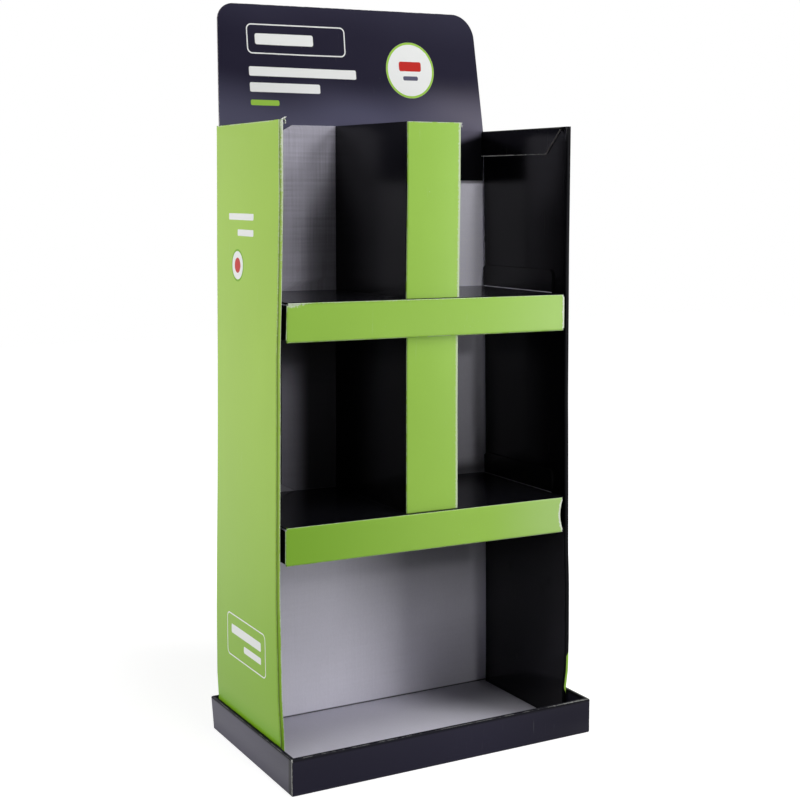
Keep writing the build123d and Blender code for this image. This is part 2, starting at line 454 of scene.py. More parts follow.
def cutEdge(name):
    # a cut through the board: two liners and the wave of the fluting between them, with painted shade in
    # the hollows beside the wave
    material, tree, shader, position = startMaterial(name, 0.9, 0.1)
    edge = tree.nodes.new("ShaderNodeUVMap")
    edge.uv_map = "edge"
    axes = axesOf(tree, edge.outputs[0])
    ragged = times(tree, centred(tree, speckle(tree, position, 800, 3)), 0.22)
    depth = calc(tree, "ADD", axes[1], ragged)
    turns = times(tree, axes[0], 2 * pi / flutePitch)
    wave = calc(tree, "MULTIPLY_ADD", calc(tree, "SINE", turns), 0.30, 0.5)
    flute = ramp(tree, calc(tree, "ABSOLUTE", calc(tree, "SUBTRACT", depth, wave)), 0.10, 0.18, 1.0, 0.0)
    liner = ramp(tree, calc(tree, "ABSOLUTE", centred(tree, depth)), 0.34, 0.40)
    tone = blendTone(tree, flute, inks["gap"], inks["medium"])
    tone = blendTone(tree, liner, tone, inks["greyBack"])
    tree.links.new(tone, shader.inputs["Base Color"])
    feedBump(tree, shader, [times(tree, calc(tree, "MAXIMUM", flute, liner), 0.4)])
    return material


def upright(x, y):
    # the place of a fold that runs straight up
    return (x, y, 0)


# Folds as (place, axes that count, width, share that is cracked, how white, turn about x in degrees),
# placed on the rounding of the fold, which lies a millimetre inside its sharp corner
rounding = 0.00105
outer, inner, back = wrapHigh.x - rounding, innerFace + rounding, wrapHigh.y - rounding
front = wallFront + rounding
flapFoot, flapMitre = wallTop - topFlapDrop, wallFront + topFlapSetback
creaseLine = (outer + inner) / 2
wrapFolds = [
    # the first line is a painted highlight on the left wall's rounded outer front fold, and the third is
    # partly a painted highlight and partly cracked print
    (upright(-outer, front), (1, 1, 0), 0.0008, 0.70, 0.15),
    ((-outer, front, wallTop), (1, 1, 0.003), 0.0015, 0.90, 0.35),
    (upright(-inner - 0.0002, front - 0.0004), (1, 1, 0), 0.0013, 0.70, 0.60),
    ((-inner - 0.0006, wallFront, wallTop), (1, 1, 0.010), 0.0018, 0.90, 0.75),
    ((-inner - 0.0016, wallFront, wallTop), (1, 1, 0.013), 0.0034, 0.95, 0.45),
    ((-inner - 0.0016, wallFront, wallTop), (1, 1, 0.035), 0.0036, 0.70, 0.70),
    ((-inner, wallFront, wallTop), (1, 1, 0.3), 0.0060, 0.65, 0.9),
    (upright(-outer, back), (1, 1, 0), 0.0009, 0.45, 0.8),
    (upright(outer, back), (1, 1, 0), 0.0009, 0.45, 0.8),
    (upright(outer, front), (1, 1, 0), 0.0009, 0.40, 0.5),
    ((-outer, 0, wallTop - rounding), (1, 0, 1), 0.0011, 0.60, 0.6),
    ((outer, 0, wallTop - rounding), (1, 0, 1), 0.0011, 0.60, 0.6),
]

sideDisc = (0.060, 0.862)
sidePrint = [
    {"centre": (0.045, 0.945), "half": (0.055, 0.0055), "round": 0.002, "ink": "white"},
    {"centre": (0.025, 0.918), "half": (0.035, 0.0055), "round": 0.002, "ink": "white"},
    {"centre": sideDisc, "half": (0.026, 0.026), "round": 0.026, "ink": "white"},
    {"centre": sideDisc, "half": (0.026, 0.026), "round": 0.026, "line": 0.0035, "ink": "deepGreen"},
    {"centre": sideDisc, "half": (0.013, 0.013), "round": 0.013, "ink": "red"},
    {"centre": (0.020, 0.205), "half": (0.085, 0.038), "round": 0.010, "line": 0.0022, "ink": "white"},
    {"centre": (0.020, 0.217), "half": (0.066, 0.008), "round": 0.003, "ink": "white"},
    {"centre": (-0.008, 0.192), "half": (0.038, 0.006), "round": 0.003, "ink": "white"},
]


def sideMotif(tree, position, tone):
    # painted shade darkens the green towards the tray, most in a band just above it, and plain bars and a
    # disc are printed on the outsides
    axes = axesOf(tree, position)
    tone = blendTone(tree, ramp(tree, axes[2], 0.05, 0.70, 0.80, 0.0), tone, inks["wallShadeGreen"])
    tone = blendTone(tree, ramp(tree, axes[2], 0.072, 0.102, 0.8, 0.0), tone, inks["deepGreen"])
    return printBars(tree, spotOn(tree, axes[1], axes[2]), tone, sidePrint)


wrapGreen = printedBoard(
    "wrapGreen",
    inks["wallGreen"],
    0.32,
    wrapFolds,
    rubs=0.15,
    motif=sideMotif,
    gloss=0.12,
    # painted shade in the groove between the left wall's two front folds
    grooves=[(upright(-creaseLine - 0.0016, wallFront), (1, 1, 0), 0.0024, 0.75)],
)


sliver = {
    "foot": (0.045, 0.072),  # heights between which it widens
    "top": (0.124, 0.145),  # heights between which it narrows again
    "width": 0.0056,
    "hidden": 0.0004,  # how far past the wall's outside it starts
    "blur": 0.0002,
}


def returnMotif(tree, position, tone):
    # a sliver of green turns the right wall's front fold near the tray
    axes = axesOf(tree, position)
    foot = ramp(tree, axes[2], *sliver["foot"])
    top = ramp(tree, axes[2], *sliver["top"], 1.0, 0.0)
    share = times(tree, foot, top)
    edge = calc(tree, "MULTIPLY_ADD", share, -sliver["width"], wrapHigh.x + sliver["hidden"])
    past = calc(tree, "SUBTRACT", axes[0], edge)
    return blendTone(tree, ramp(tree, past, -sliver["blur"], sliver["blur"]), tone, inks["green"])


wrapBlackFolds = [
    (upright(inner, front), (1, 1, 0), 0.0006, 0.10, 0.2),
    (upright(innerFace, innerPlyEnd), (1, 1, 0), 0.0010, 0.35, 0.12),
    ((innerFace, innerPlyEnd, 0.86), (1, 1, 0.040), 0.0026, 0.90, 0.6),
    ((liningFace, 0, flapFoot), (1, 0, 1), 0.0009, 0.85, 0.50),
    ((liningFace, 0.14, flapFoot), (1, 0.012, 1), 0.0020, 0.95, 0.9),
    ((liningFace, flapMitre, wallTop - 0.0036), (1, 1, 0), 0.0010, 0.85, 0.40, -45),
    (upright(liningFace, topFlapEnd), (1, 1, 0), 0.0009, 0.60, 0.35),
]
wrapBlack = printedBoard("wrapBlack", inks["black"], 0.16, wrapBlackFolds, rubs=0.05, mirrored=True)
returnBlack = printedBoard(
    "returnBlack",
    inks["black"],
    0.40,
    [(upright(wrapHigh.x - 0.0010, front), (1, 1, 0), 0.0008, 0.15, 0.2)],
    rubs=0.05,
    motif=returnMotif,
    gloss=0.04,
)


def panelShading(tree, axes):
    # painted shade darkens the panel where it meets the floor and in the low bay's far upper corner, and
    # painted light makes it lighter above the upper shelf
    footShade = ramp(tree, axes[2], board + 0.0012, board + 0.0036, 0.12, 1.0)
    aboveFloor = ramp(tree, axes[2], 0.14, 0.34)
    underShelf = ramp(tree, axes[2], 0.44, 0.47, 1.0, 0.0)
    low = times(tree, aboveFloor, underShelf)
    # painted shade in the low bay's far upper corner
    far = times(tree, ramp(tree, axes[0], -0.14, 0.16, 0.30, 1.0), low)
    paintedShading = calc(tree, "MULTIPLY_ADD", far, -0.78, 1.0)
    overShelf = ramp(tree, axes[2], 0.74, 0.80)
    # painted light on the upper bay's back
    paintedLight = times(tree, overShelf, ramp(tree, axes[2], 0.82, 1.06, 0.16, 0.08))
    return times(tree, footShade, calc(tree, "ADD", paintedShading, paintedLight))


def floorShading(tree, axes):
    # painted shade: the tray's floor is darker towards the right wall
    return ramp(tree, axes[0], 0.00, 0.28, 0.92, 0.54)


def flapShading(tree, axes):
    # painted shade: the flap is darker towards its column, as in the column's shadow, though less so high
    # up, and painted light makes the right flap lighter than the left one
    away = calc(tree, "SUBTRACT", calc(tree, "ABSOLUTE", axes[0]), columnEdge)
    height = calc(tree, "MAXIMUM", calc(tree, "SUBTRACT", axes[2], 0.93), 0.0)
    paintedLight = calc(tree, "ADD", away, times(tree, height, 0.7))
    side = ramp(tree, axes[0], -0.05, 0.05, 0.82, 1.12)
    return times(tree, side, ramp(tree, paintedLight, 0.020, 0.115, 0.36, 1.30))


def lowFlapShading(tree, axes):
    # painted shadow darkens the lower column's flaps near the column and towards their tops, leaving them
    # lighter towards their outer ends
    side = ramp(tree, calc(tree, "ABSOLUTE", axes[0]), 0.105, 0.168, 0.07, 1.1)
    return times(tree, side, ramp(tree, axes[2], 0.60, 0.73, 1.0, 0.10))


greyBack = bareLiner("greyBack", inks["greyBack"], 0.22, shading=panelShading)
flapGrey = bareLiner("flapGrey", inks["flapGrey"], 2.0, shading=flapShading)
lowFlapShadowGrey = bareLiner("lowFlapShadowGrey", inks["flapGrey"], 0.8, shading=lowFlapShading)
floorGrey = bareLiner("floorGrey", inks["greyBack"], 0.22, across=(1, 0, 0), shading=floorShading)
boardEdge = cutEdge("boardEdge")


headerDisc = (0.120, 1.215)
headerPrint = [
    {"centre": (-0.115, 1.262), "half": (0.098, 0.026), "round": 0.009, "line": 0.0022, "ink": "white"},
    {"centre": (-0.140, 1.262), "half": (0.058, 0.010), "round": 0.004, "ink": "white"},
    {"centre": (-0.105, 1.203), "half": (0.108, 0.0085), "round": 0.003, "ink": "white"},
    {"centre": (-0.143, 1.174), "half": (0.070, 0.0085), "round": 0.003, "ink": "white"},
    {"centre": (-0.185, 1.146), "half": (0.028, 0.005), "round": 0.003, "ink": "green"},
    {"centre": headerDisc, "half": (0.052, 0.052), "round": 0.052, "ink": "white"},
    {"centre": headerDisc, "half": (0.050, 0.050), "round": 0.050, "line": 0.004, "ink": "green"},
    {"centre": (0.120, 1.222), "half": (0.024, 0.009), "round": 0.004, "ink": "red"},
    {"centre": (0.120, 1.200), "half": (0.016, 0.004), "round": 0.003, "ink": "softNavy"},
]


def headerMotif(tree, position, tone):
    # painted sheen makes the ink lighter at the card's foot, at its top and at its lower right, and painted
    # shadow makes it black between the walls, with a few plain bars and a disc
    axes = axesOf(tree, position)
    drift = times(tree, centred(tree, speckle(tree, position, 4, 1)), 0.10)
    height = calc(tree, "ADD", axes[2], drift)
    foot = ramp(tree, height, wallTop - 0.005, wallTop + 0.095, 0.85, 0.0)
    head = ramp(tree, height, wallTop + 0.15, wallTop + 0.26, 0.0, 0.16)
    sheenRight = ramp(tree, axes[0], 0.06, 0.26)
    sheenLow = ramp(tree, height, wallTop + 0.02, wallTop + 0.12, 0.58, 0.0)
    paintedShading = times(tree, sheenRight, sheenLow)
    # painted shadow of the right wall, with a slanting edge
    slant = calc(tree, "MULTIPLY_ADD", axes[0], -0.30, calc(tree, "ADD", axes[2], 0.080))
    between = ramp(tree, slant, wallTop - 0.016, wallTop + 0.002, 1.0, 0.0)
    for share, ink in ((foot, "softNavy"), (head, "softNavy"), (paintedShading, "sheenNavy"), (between, "black")):
        tone = blendTone(tree, share, tone, inks[ink])
    return printBars(tree, spotOn(tree, axes[0], axes[2]), tone, headerPrint)


headerFolds = [
    ((0, 0, headerHigh.z), (0, 0, 1), 0.0009, 0.5, 0.5),
    ((headerLow.x, 0, wallTop), (1, 0, 0.02), 0.0012, 0.5, 0.5),
    ((headerHigh.x, 0, wallTop), (1, 0, 0.02), 0.0012, 0.5, 0.5),
]
headerNavy = printedBoard(
    "headerNavy",
    inks["navy"],
    0.40,
    headerFolds,
    rubs=0.05,
    motif=headerMotif,
    gloss=0.03,
)

trayLeft, trayRight = trayLow.x + rounding, trayHigh.x - rounding
trayFront, trayBack, trayTop = trayLow.y + rounding, trayHigh.y - rounding, trayHigh.z - rounding
trayFolds = [
    ((0, trayFront, trayTop), (0, 1, 1), 0.0010, 0.50, 0.14),
    ((trayHigh.x, trayFront, trayTop), (0.012, 1, 1), 0.0014, 0.60, 0.35),
    ((trayLeft, 0, trayTop), (1, 0, 1), 0.0010, 0.50, 0.12),
    ((trayRight, 0, trayTop), (1, 0, 1), 0.0012, 0.70, 0.40),
    ((0, trayBack, trayTop), (0, 1, 1), 0.0010, 0.40, 0.30),
    (upright(trayLow.x, trayLow.y), (1, 1, 0), 0.0012, 0.85, 0.55),
    (upright(trayHigh.x, trayLow.y), (1, 1, 0), 0.0010, 0.50, 0.4),
    (upright(trayLow.x, trayHigh.y), (1, 1, 0), 0.0010, 0.50, 0.4),
    (upright(trayHigh.x, trayHigh.y), (1, 1, 0), 0.0010, 0.50, 0.4),
    ((trayLow.x, trayLow.y, trayHigh.z), (1, 1, 0.4), 0.0030, 0.95, 0.8),
]


def trayMotif(tree, position, tone):
    # painted shade makes the ink darker along the rolled top edge, beside the near corner of the left end,
    # towards the right and towards the front
    axes = axesOf(tree, position)
    high = ramp(tree, axes[2], trayHigh.z - 0.008, trayHigh.z - 0.003)
    atEnd = ramp(tree, axes[0], trayLow.x + 0.001, trayLow.x + 0.002, 1.0, 0.0)
    nearFront = ramp(tree, axes[1], trayLow.y + 0.009, trayLow.y + 0.016, 1.25, 0.0)
    near = times(tree, atEnd, nearFront)
    tone = scaleTone(tree, tone, ramp(tree, axes[0], 0.02, 0.28, 1.0, 0.56))
    tone = scaleTone(tree, tone, ramp(tree, axes[1], trayLow.y, trayLow.y + 0.22, 0.74, 1.0))
    dark = times(tree, calc(tree, "MAXIMUM", high, near), 0.75)
    return blendTone(tree, dark, tone, inks["black"])


def trayPrint(name, gloss):
    return printedBoard(name, inks[name], 0.34, trayFolds, rubs=0.12, motif=trayMotif, gloss=gloss)


trayNavy = trayPrint("trayNavy", 0.04)
# painted sheen: the tray's left end is printed with a lighter copy of the tray's navy
trayEndSheenNavy = trayPrint("trayEndSheenNavy", 0.045)


def fasciaFolds(top, low):
    # its upper and lower folds, and the folds to the flaps at its ends
    end, face = fasciaEnd - rounding, fasciaFront + rounding
    return [
        ((0, face, top - rounding), (0, 1, 1), 0.0010, 0.70, 0.55),
        ((0, face, low + rounding), (0, 1, 1), 0.0009, 0.60, 0.45),
        (upright(-end, face), (1, 1, 0), 0.0009, 0.60, 0.45),
        (upright(end - 0.0020, fasciaFront), (1, 1, 0), 0.0032, 0.95, 0.80),
    ]


def fasciaMotif(atLeft, atRight):
    # painted shade makes the ink a little deeper at the left end, and painted sheen makes it paler at the
    # right one
    def shade(tree, position, tone):
        along = axesOf(tree, position)[0]
        tone = blendTone(tree, ramp(tree, along, -0.30, 0.08, atLeft, 0.0), tone, inks["deepGreen"])
        return blendTone(tree, ramp(tree, along, 0.10, 0.28, 0.0, atRight), tone, inks["paper"])

    return shade


def fasciaPrint(name, folds, atLeft, atRight):
    motif = fasciaMotif(atLeft, atRight)
    return printedBoard(name, inks["green"], 0.32, folds, across=(0, 0, 1), motif=motif)


wornCorner = -fasciaEnd + 0.003
# the three bands at the left end's top corner are partly cracked print and partly a painted highlight on
# the crushed rounding of the fold
upperWearAndHighlight = [
    ((wornCorner, fasciaFront, upperTop - 0.002), (0.11, 1, 1), 0.0044, 1.0, 0.75),
    ((wornCorner, fasciaFront, upperTop - 0.004), (0.19, 1, 1), 0.0054, 1.0, 0.60),
    ((wornCorner, fasciaFront, upperTop), (0.06, 1, 1), 0.0036, 1.0, 0.65),
    ((0, fasciaFront, upperTop - 0.001), (0, 1, 1), 0.0016, 0.80, 0.45),
    ((-0.080, fasciaFront, upperTop), (0.14, 1, 1), 0.0032, 0.60, 0.55),
]
lowerWear = [
    ((fasciaEnd, fasciaFront, lowerTop), (0.5, 1, 0.35), 0.0035, 0.80, 0.9),
    ((fasciaEnd, fasciaFront, lowerFoot), (0.5, 1, 0.35), 0.0030, 0.70, 0.9),
]
upperGreen = fasciaPrint("upperGreen", fasciaFolds(upperTop, upperFoot) + upperWearAndHighlight, 0.1, 0.05)
lowerGreen = fasciaPrint("lowerGreen", fasciaFolds(lowerTop, lowerFoot) + lowerWear, 0.75, 0.13)
shelfBlack = printedBoard(
    "shelfBlack",
    inks["black"],
    0.22,
    [(upright(liningFace, -0.077), (1, 1, 0), 0.0007, 0.75, 0.35)],
    across=(1, 0, 0),
    rubs=0.06,
    mirrored=True,
)

columnFace = columnLow.y + rounding
columnFolds = [
    (upright(-columnEdge + rounding, columnFace), (1, 1, 0), 0.0009, 0.60, 0.35),
    (upright(columnEdge - 0.0024, columnLow.y), (1, 1, 0), 0.0040, 1.0, 0.55),
    ((columnEdge, columnLow.y, wallTop), (1, 1, 0.5), 0.0070, 1.0, 0.65),
    ((0, columnLow.y, wallTop), (0, 1, 1), 0.0012, 0.60, 0.7),
]
columnGreen = printedBoard("columnGreen", inks["green"], 0.32, columnFolds)
columnBlack = printedBoard("columnBlack", inks["black"], 0.22, columnFolds[:1], rubs=0.05)
print("materials ready")


# Sheets: welded copies of the frame's sheets, with the print, the bare back and the cut edges told apart
def pickOnly(piece):
    bpy.ops.object.select_all(action="DESELECT")
    piece.select_set(True)
    bpy.context.view_layer.objects.active = piece


def sheetFromFrame(node, name):
    piece = bpy.data.objects.new(name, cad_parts[node].data.copy())
    bpy.context.scene.collection.objects.link(piece)
    pickOnly(piece)
    piece.data.materials.clear()
    bpy.ops.object.mode_set(mode="EDIT")
    bpy.ops.mesh.select_all(action="SELECT")
    bpy.ops.mesh.remove_doubles(threshold=0.00001)
    bpy.ops.mesh.dissolve_limited(angle_limit=radians(0.5))
    bpy.ops.object.mode_set(mode="OBJECT")
    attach(piece, "root")
    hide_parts(node)
    return piece


def paintFaces(piece, materials, chooser):
    for material in materials:
        piece.data.materials.append(material)
    for face in piece.data.polygons:
        face.material_index = materials.index(chooser(face.center, face.normal))


def mapEdges(piece):
    # on cut faces, u runs along the cut in metres and v goes from one liner to the other
    layer = piece.data.uv_layers.new(name="edge")
    cut = piece.data.materials.find(boardEdge.name)
    for face in piece.data.polygons:
        if face.material_index != cut:
            continue
        points = [piece.data.vertices[index].co for index in face.vertices]
        sides = [end - start for start, end in zip(points, points[1:] + points[:1])]
        along = max(sides, key=lambda side: side.length).normalized()
        through = along.cross(face.normal)
        near = min(point.dot(through) for point in points)
        for loop in face.loop_indices:
            point = piece.data.vertices[piece.data.loops[loop].vertex_index].co
            layer.data[loop].uv = (point.dot(along), (point.dot(through) - near) / board)


# Settling: the walls lean and bow a little from where they were folded, as (height, shift towards +x) in
# metres, read along each wall's edges
lean = {
    "leftFront": (
        (0.070, -0.0008), (0.145, -0.0044), (0.231, -0.0056), (0.316, -0.0065),
        (0.485, -0.0042), (0.617, -0.0022), (0.716, -0.0013), (0.813, 0.0023),
        (0.910, 0.0050), (0.975, 0.0070), (1.040, 0.0072), (1.102, 0.0080),
    ),
    "leftBack": (
        (0.070, -0.0008), (0.115, -0.0028), (0.228, -0.0020), (0.340, 0.0002),
        (0.451, 0.0031), (0.561, 0.0054), (0.670, 0.0073), (0.777, 0.0086),
        (0.884, 0.0096), (0.990, 0.0112), (1.102, 0.0125),
    ),
    "rightFront": (
        (0.070, 0.0008), (0.103, 0.0051), (0.161, 0.0060), (0.218, 0.0055),
        (0.275, 0.0048), (0.331, 0.0021), (0.444, 0.0005), (0.555, -0.0013),
        (0.611, -0.0026), (0.748, -0.0035), (0.883, -0.0045), (1.102, -0.0042),
    ),
    "rightBack": (
        (0.070, 0.0), (0.300, -0.0020), (0.500, -0.0035), (0.850, -0.0087),
        (1.054, -0.0122), (1.102, -0.0125),
    ),
}
slump = {
    "shelfDrop": 0.005,  # how much lower a shelf's right end sits
    "endPinch": 0.0080,  # how far the lower fascia's right end is pushed in
    "columnFront": {"upper_column": 0.0024, "lower_column": 0.0050},  # the front's shift to the right
    "columnSpread": 0.0040,  # how far the upper column's right front edge stands out
    "columnRise": 0.0020,  # how much higher the upper column's front reaches
    "flapRise": 0.0040,  # how much higher its flaps reach
    "flapTip": 0.0030,  # how much higher still the flaps' tips reach
    "flapChamfer": 0.0050,  # how much shorter the chamfers at their tops are
    "headerScale": 0.989,  # the card stands a little narrower than it was cut
    "headerShift": -0.002,
    "headerDrop": 0.006,  # how much lower the header's top left corner sits
    "headerRound": 0.018,  # how much wider its right corner is rounded
    "trayTuck": 0.0045,  # how far the foot of the tray's far left corner is tucked in
}
chamferPlace = (0.13, 0.14)  # a column's chamfers start between these, from the middle
chamferTip = 0.16  # and end beyond this


def atHeight(table, height):
    for (low, lowShift), (high, highShift) in zip(table, table[1:]):
        if height <= high:
            return lowShift + (highShift - lowShift) * max(0.0, (height - low) / (high - low))
    return table[-1][1]


def leanAt(place):
    across = (place.x - wrapLow.x) / (wrapHigh.x - wrapLow.x)
    depth = (place.y - wrapLow.y) / (wrapHigh.y - wrapLow.y)
    shifts = {edge: atHeight(table, place.z) for edge, table in lean.items()}
    front = shifts["leftFront"] * (1 - across) + shifts["rightFront"] * across
    rear = shifts["leftBack"] * (1 - across) + shifts["rightBack"] * across
    return front * (1 - depth) + rear * depth


def shelfDropAt(place):
    return slump["shelfDrop"] * (place.x - shelfLow.x) / (shelfHigh.x - shelfLow.x)


def settleWrap(place):
    return Vector((leanAt(place), 0, 0))


def settleShelf(place):
    pinch = 0.0
    atEnd = place.x > 0.26 and place.y < fasciaFront + 0.04
    if atEnd and lowerFoot <= place.z <= lowerTop:
        # the lower fascia's right end is pushed in most at half its height
        middle, half = (lowerFoot + lowerTop) / 2, (lowerTop - lowerFoot) / 2
        pinch = slump["endPinch"] * (1 - ((place.z - middle) / half) ** 2)
    return Vector((leanAt(place) - pinch, 0, -shelfDropAt(place)))


def settleColumn(node):
    # the foot follows the shelf that it stands on, and the front is pushed a little to the right. The upper
    # column also stands higher, and its flaps end square at the foot, with smaller chamfers at the top.
    low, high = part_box(node)
    atEnd = 0.001

    def settle(place):
        side, reach = 1 if place.x > 0 else -1, abs(place.x)
        forward = (columnHigh.y - place.y) / (columnHigh.y - columnLow.y)
        push = slump["columnFront"][node]
        foot, rise, flare = 1.0, 0.0, 0.0
        if node == "upper_column":
            foot = (high.z - place.z) / (high.z - low.z)
            push += slump["columnSpread"] if side > 0 else 0.0
            lift = slump["columnRise"] + (slump["flapRise"] - slump["columnRise"]) * (1 - forward)
            rise = lift * (1 - foot)
            if place.z < low.z + atEnd and reach > chamferPlace[0]:
                flare = (high.x - reach) * side
            elif place.z > high.z - atEnd and chamferPlace[0] < reach < chamferPlace[1]:
                flare = slump["flapChamfer"] * side
            elif place.z > high.z - 0.02 and reach > chamferTip:
                rise += slump["flapTip"]
        return Vector((leanAt(place) + push * forward + flare, 0, rise - shelfDropAt(place) * foot))

    return settle


headerCorner = {"across": 0.2359, "radius": 0.032}  # the right corner's arc in the frame


def widenCorner(piece):
    # the right corner is rounded wider, its two ends sliding along the card's edges
    radius = headerCorner["radius"]
    middle = Vector((headerCorner["across"], 0, headerHigh.z - radius))
    for vertex in piece.data.vertices:
        along, up = (vertex.co.x - middle.x) / radius, (vertex.co.z - middle.z) / radius
        if along > -0.01 and up > -0.01:
            vertex.co.x -= slump["headerRound"] * (1 - min(1, along))
            vertex.co.z -= slump["headerRound"] * (1 - min(1, up))


def settleHeader(place):
    above = max(0.0, (place.z - wallTop) / (headerHigh.z - wallTop))
    drop = slump["headerDrop"] * above * (headerHigh.x - place.x) / (headerHigh.x - headerLow.x)
    return Vector((place.x * (slump["headerScale"] - 1) + slump["headerShift"], 0, -drop))


def settleTray(place):
    # the far left corner is tucked in at its foot
    foot = max(0.0, 1 - place.z / trayHigh.z)
    left = max(0.0, -place.x / trayHigh.x) ** 4
    far = (place.y - trayLow.y) / (trayHigh.y - trayLow.y)
    return Vector((slump["trayTuck"] * foot * left * far, 0, 0))


def settleSheet(piece, settle, cuts):
    # the sheet is cut across at these heights, keeps its flat place as an attribute and then settles
    pickOnly(piece)
    bpy.ops.object.mode_set(mode="EDIT")
    for height in cuts:
        bpy.ops.mesh.select_all(action="SELECT")
        bpy.ops.mesh.bisect(plane_co=(0, 0, height), plane_no=(0, 0, 1))
    bpy.ops.object.mode_set(mode="OBJECT")
    flat = piece.data.attributes.new("flatPlace", "FLOAT_VECTOR", "POINT")
    for vertex, entry in zip(piece.data.vertices, flat.data):
        entry.vector = vertex.co
    for vertex in piece.data.vertices:
        vertex.co += settle(vertex.co)
    bpy.ops.object.shade_smooth_by_angle(angle=radians(35))


# Heights at which the sheets are cut across, closer together near the tray, where the walls bend most
wallCuts = [0.070 + 0.015 * step for step in range(10)] + [0.235 + 0.030 * step for step in range(29)]
fasciaCuts = [lowerFoot + 0.011 * step for step in range(1, 6)]
touch = 0.0002  # room left when a face is told by its place


def sideOf(centre, normal):
    # how far out a face lies, and how much it looks outwards
    return abs(centre.x), normal.x if centre.x > 0 else -normal.x


def wrapSide(centre, normal):
    side, outward = sideOf(centre, normal)
    inBay = side < innerFace - 2 * board
    if centre.z < wrapLow.z + touch or (normal.z > 0.9 and inBay):
        return boardEdge
    if centre.y < wallFront + 0.0027 and abs(normal.z) < 0.5:
        if outward < -0.6 and centre.y > wallFront + 0.0018:
            return wrapBlack
        return wrapGreen if centre.x < 0 else returnBlack
    if inBay:
        return greyBack if normal.y < 0 else wrapGreen
    if normal.y > 0.9 and centre.y < back - touch and side < outer - board:
        return boardEdge
    if outward < -0.3:
        return wrapBlack if side < innerFace + touch else greyBack
    if outward > 0.3:
        return wrapGreen if side > outer - board - 0.001 else greyBack
    if normal.z < -0.5:
        return boardEdge
    if normal.y < -0.5 and normal.z <= 0.5:
        return wrapGreen if centre.x < 0 else wrapBlack
    return wrapGreen


body = sheetFromFrame("body_wrap", "bodySheet")
paintFaces(body, [wrapGreen, wrapBlack, returnBlack, greyBack, boardEdge], wrapSide)
mapEdges(body)
settleSheet(body, settleWrap, wallCuts)


def shelfSide(top, green):
    def choose(centre, normal):
        side, outward = sideOf(centre, normal)
        behind = centre.y - fasciaFront
        if centre.z > top + 0.0006:
            return greyBack if outward > 0.9 else shelfBlack
        if side > fasciaEnd - board and behind > 0.037:
            return boardEdge if abs(normal.y) > 0.5 or behind < 0.046 else greyBack
        if centre.z > top - 0.0045 and normal.z > 0.6:
            return shelfBlack
        # painted shade: the fascia's end flaps are given black where they stand in shadow beside the walls,
        # in place of their green print
        if side > fasciaEnd - 0.0005 and outward > 0.5:
            return returnBlack
        if side > fasciaEnd - board - touch and centre.z > top - 0.0031 and normal.y < -0.9:
            return returnBlack
        if behind < 0.004:
            return green if normal.y < 0.05 else greyBack
        if behind < 0.010 and (normal.y > 0.5 or normal.z < -0.3):
            return green
        return greyBack

    return choose


shelfPlan = {
    "upper_shelf": ("upperShelfSheet", upperTop, upperGreen, []),
    "lower_shelf": ("lowerShelfSheet", lowerTop, lowerGreen, fasciaCuts),
}
for node, (name, top, green, cuts) in shelfPlan.items():
    shelf = sheetFromFrame(node, name)
    paintFaces(shelf, [green, shelfBlack, returnBlack, greyBack, boardEdge], shelfSide(top, green))
    mapEdges(shelf)
    settleSheet(shelf, settleShelf, cuts)


def columnSide(flap):
    def choose(centre, normal):
        side, outward = sideOf(centre, normal)
        if abs(normal.z) > 0.5:
            return boardEdge
        if centre.y < columnLow.y + 0.0036 and normal.y < -0.55:
            return columnGreen
        onSide = columnEdge - 0.0037 < side < columnEdge + touch
        if onSide and outward > 0 and centre.y < columnHigh.y - 0.0036:
            return columnBlack
        return boardEdge if side > chamferTip and abs(normal.x) > 0.9 else flap

    return choose


columnPlan = {
    "upper_column": ("upperColumnSheet", flapGrey),
    "lower_column": ("lowerColumnSheet", lowFlapShadowGrey),
}
for node, (name, flap) in columnPlan.items():
    column = sheetFromFrame(node, name)
    paintFaces(column, [columnGreen, columnBlack, flap, boardEdge], columnSide(flap))
    mapEdges(column)
    low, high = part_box(node)
    settleSheet(column, settleColumn(node), [cut for cut in wallCuts if low.z < cut < high.z])


def headerSide(centre, normal):
    if normal.y < -0.9:
        return headerNavy
    return greyBack if normal.y > 0.9 else boardEdge


header = sheetFromFrame("header_card", "headerSheet")
paintFaces(header, [headerNavy, greyBack, boardEdge], headerSide)
mapEdges(header)
widenCorner(header)
settleSheet(header, settleHeader, [])


def traySide(centre, normal):
    if centre.z < board + touch and abs(normal.z) > 0.9:
        return floorGrey
    # painted sheen: the left end takes the lighter navy
    return trayEndSheenNavy if normal.x < -0.7 and centre.x < trayLow.x + 0.004 else trayNavy


tray = sheetFromFrame("base_tray", "traySheet")
paintFaces(tray, [trayNavy, trayEndSheenNavy, floorGrey], traySide)
settleSheet(tray, settleTray, [])
print("sheets finished")


# Torn paper: flakes of liner that have curled over at worn corners
flakes = {
    "wallFlake": {
        "place": (-0.2735, wallFront + 0.0030, wallTop + 0.0008),
        "reach": 0.0080, "depth": 0.0055, "rise": 0.0034, "curl": 0.0030, "turn": 150, "tail": 0.0050,
    },
    "columnFlake": {
        "place": (0.0592, columnLow.y + 0.0028, wallTop + 0.0012),
        "reach": 0.0040, "depth": 0.0050, "rise": 0.0002, "curl": 0.0022, "turn": 150, "tail": 0.0030,
    },
}
flakeFinish = {
    "thickness": 0.0009,
    "grain": 190,  # how fine the unevenness is
    "uneven": 0.0008,
    "seed": 5,  # without it the unevenness would differ from run to run
    "stain": 0.40,  # share of ink left on it
}

